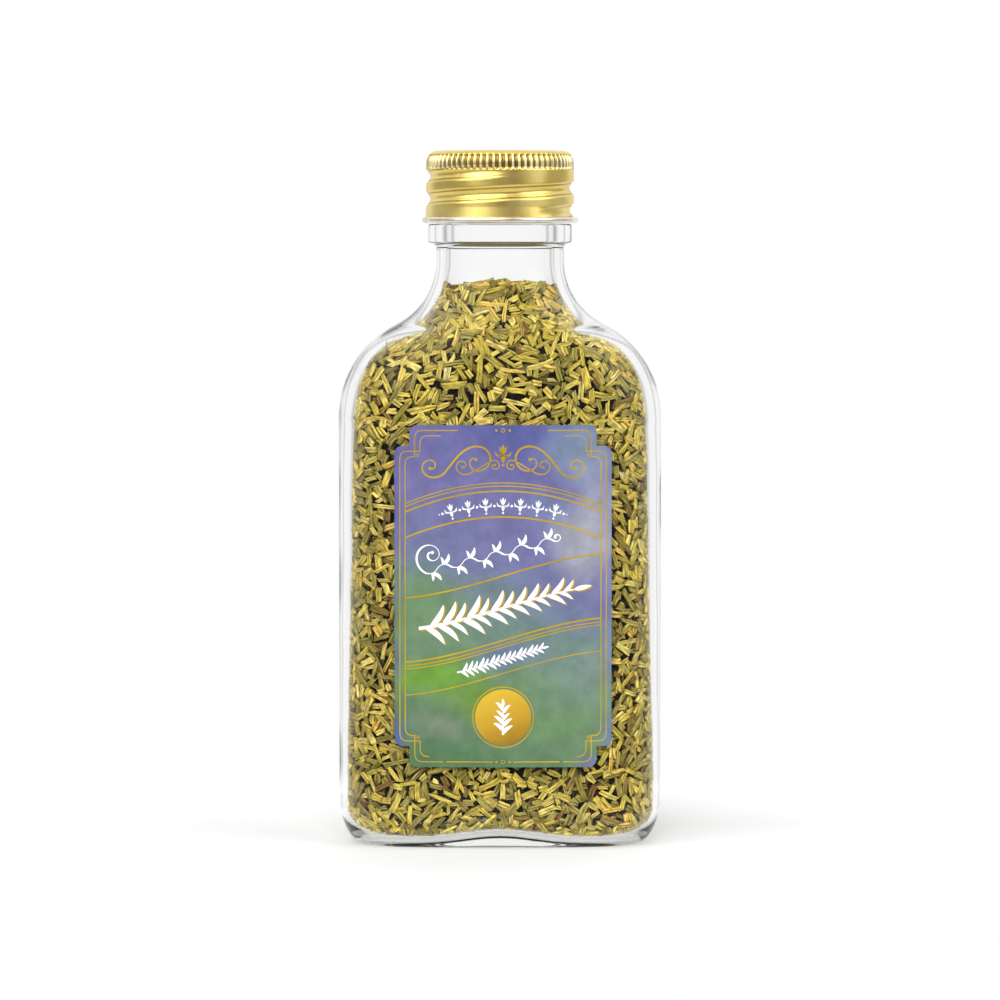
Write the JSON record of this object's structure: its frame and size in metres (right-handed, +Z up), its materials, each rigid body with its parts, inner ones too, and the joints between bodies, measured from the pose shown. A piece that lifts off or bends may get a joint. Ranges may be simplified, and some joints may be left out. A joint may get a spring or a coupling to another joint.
{
  "type": "glass flask of dried rosemary",
  "caption": "Flat clear glass flask filled with cut dried rosemary leaves, closed by a gold aluminium screw cap, with a notched paper label on its front.",
  "frame": {"origin": "centre of the base, on the plane the flask stands on", "axes": "+Z up along the neck; +X to the right across the flask's wide side, seen from the label; -Y out of the labelled front"},
  "size_m": [0.0612, 0.0314, 0.1312],
  "materials": {
    "flint_glass": "clear flint glass, fire-polished",
    "gold_aluminium": "gold lacquer, satin",
    "liner_foam": "white foamed polyethylene",
    "label_paper": "printed matt paper",
    "dried_leaf": "dry, matt leaf"
  },
  "bodies": {
    "flask": {"glass_bottle": "flint_glass", "front_label": "label_paper", "rosemary_fill": "dried_leaf", "rosemary_leaf_01": "dried_leaf", "rosemary_leaf_02": "dried_leaf", "rosemary_leaf_03": "dried_leaf", "rosemary_leaf_04": "dried_leaf", "rosemary_leaf_05": "dried_leaf", "rosemary_leaf_06": "dried_leaf", "rosemary_leaf_07": "dried_leaf", "rosemary_leaf_08": "dried_leaf", "rosemary_leaf_09": "dried_leaf", "rosemary_leaf_10": "dried_leaf", "rosemary_leaf_11": "dried_leaf", "rosemary_leaf_12": "dried_leaf", "rosemary_leaf_13": "dried_leaf", "rosemary_leaf_14": "dried_leaf", "rosemary_leaf_15": "dried_leaf", "rosemary_leaf_16": "dried_leaf", "rosemary_leaf_17": "dried_leaf", "rosemary_leaf_18": "dried_leaf", "rosemary_leaf_19": "dried_leaf", "rosemary_leaf_20": "dried_leaf", "rosemary_leaf_21": "dried_leaf", "rosemary_leaf_22": "dried_leaf", "rosemary_leaf_23": "dried_leaf", "rosemary_leaf_24": "dried_leaf", "rosemary_leaf_25": "dried_leaf", "rosemary_leaf_26": "dried_leaf", "rosemary_leaf_27": "dried_leaf", "rosemary_leaf_28": "dried_leaf", "rosemary_leaf_29": "dried_leaf", "rosemary_leaf_30": "dried_leaf", "rosemary_leaf_31": "dried_leaf", "rosemary_leaf_32": "dried_leaf", "rosemary_leaf_33": "dried_leaf", "rosemary_leaf_34": "dried_leaf", "rosemary_leaf_35": "dried_leaf", "rosemary_leaf_36": "dried_leaf", "rosemary_leaf_37": "dried_leaf", "rosemary_leaf_38": "dried_leaf", "rosemary_leaf_39": "dried_leaf"},
    "cap_carrier": {"cap_liner": "liner_foam"},
    "cap": {"cap_shell": "gold_aluminium"}
  },
  "joints": [
    {"name": "cap_rise", "type": "slide", "parent": "flask", "child": "cap_carrier", "axis": [0, 0, 1], "range_m": [0, 0.00636]},
    {"name": "cap_turn", "type": "hinge", "parent": "cap_carrier", "child": "cap", "pos_m": [0, 0, 0.1175], "axis": [0, 0, 1], "range_deg": [0, 540]}
  ],
  "couplings": [
    {"joint": "cap_rise", "follows": "cap_turn", "m_per_rad": 0.00067376}
  ]
}
